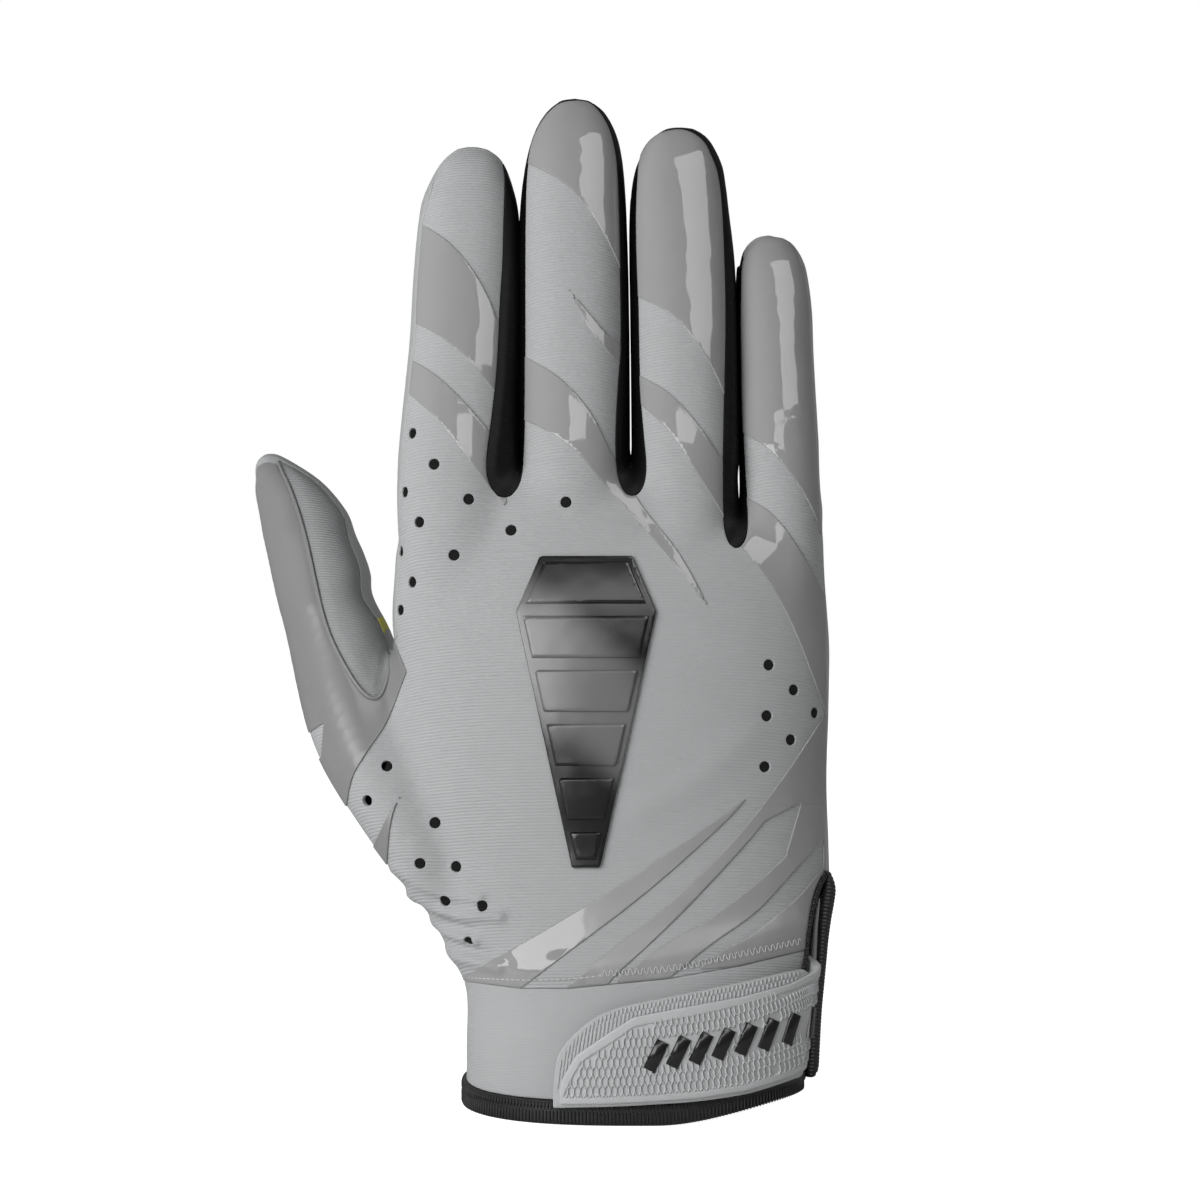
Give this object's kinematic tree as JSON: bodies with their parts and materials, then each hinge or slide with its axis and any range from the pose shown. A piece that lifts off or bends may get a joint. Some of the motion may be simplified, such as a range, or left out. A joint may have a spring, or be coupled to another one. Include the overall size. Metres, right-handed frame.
{
  "type": "football glove",
  "caption": "Right-hand receiver's glove with knit back, grip palm, film bands, vents, bound wrist slit and a peeling hook-and-loop wrist strap.",
  "frame": {"origin": "on the surface that the glove stands on, under the middle of its bounding box", "axes": "+Z from the hem to the fingertips, -Y out of the back of the hand, -X towards the thumb side"},
  "size_m": [0.1316, 0.0606, 0.2231],
  "materials": {
    "knit": "fine horizontal rib knit, matt",
    "grip": "smooth tacky palm coating, satin",
    "stretch": "black stretch knit",
    "film": "smooth bonded film, glossy",
    "mesh": "black open mesh",
    "yellow_tab": "smooth yellow tab",
    "gloss_rubber": "glossy black moulding",
    "binding": "black ribbed elastic binding",
    "loop": "brushed loop pile",
    "hook": "moulded hook tape",
    "strap_border": "ribbed moulded border",
    "moulding": "moulded honeycomb"
  },
  "bodies": {
    "glove": {"back_panel": "knit", "palm_panel": "grip", "thumb_inner_panel": "knit", "thumb_palm_panel": "grip", "thumb_crotch_tab": "yellow_tab", "fourchette_index_middle": "stretch", "fourchette_middle_ring": "stretch", "fourchette_ring_little": "stretch", "film_index_upper_band": "film", "film_index_lower_band": "film", "film_middle_cap": "film", "film_middle_blade": "film", "film_middle_band": "film", "film_ring_cap": "film", "film_ring_band": "film", "film_little_cap": "film", "film_ulnar_side": "film", "film_wrist_blade": "film", "film_thumb": "film", "film_thumb_base_blade": "film", "vent_mesh_index": "mesh", "vent_mesh_ulnar": "mesh", "vent_mesh_thumb": "mesh", "back_pad": "gloss_rubber", "cuff_back": "knit", "cuff_palm": "grip", "hem_binding": "binding", "slit_binding_back": "binding", "slit_binding_palm": "binding", "wrist_elastic": "binding", "loop_patch": "loop", "strap_anchor": "knit"},
    "strap": {"strap_body": "strap_border", "strap_moulding": "moulding", "hook_patch": "hook"}
  },
  "joints": [
    {"name": "strap_peel", "type": "hinge", "parent": "glove", "child": "strap", "pos_m": [0.0608, -0.0165, 0.018], "axis": [0, 0, 1], "range_deg": [0, 105]}
  ]
}
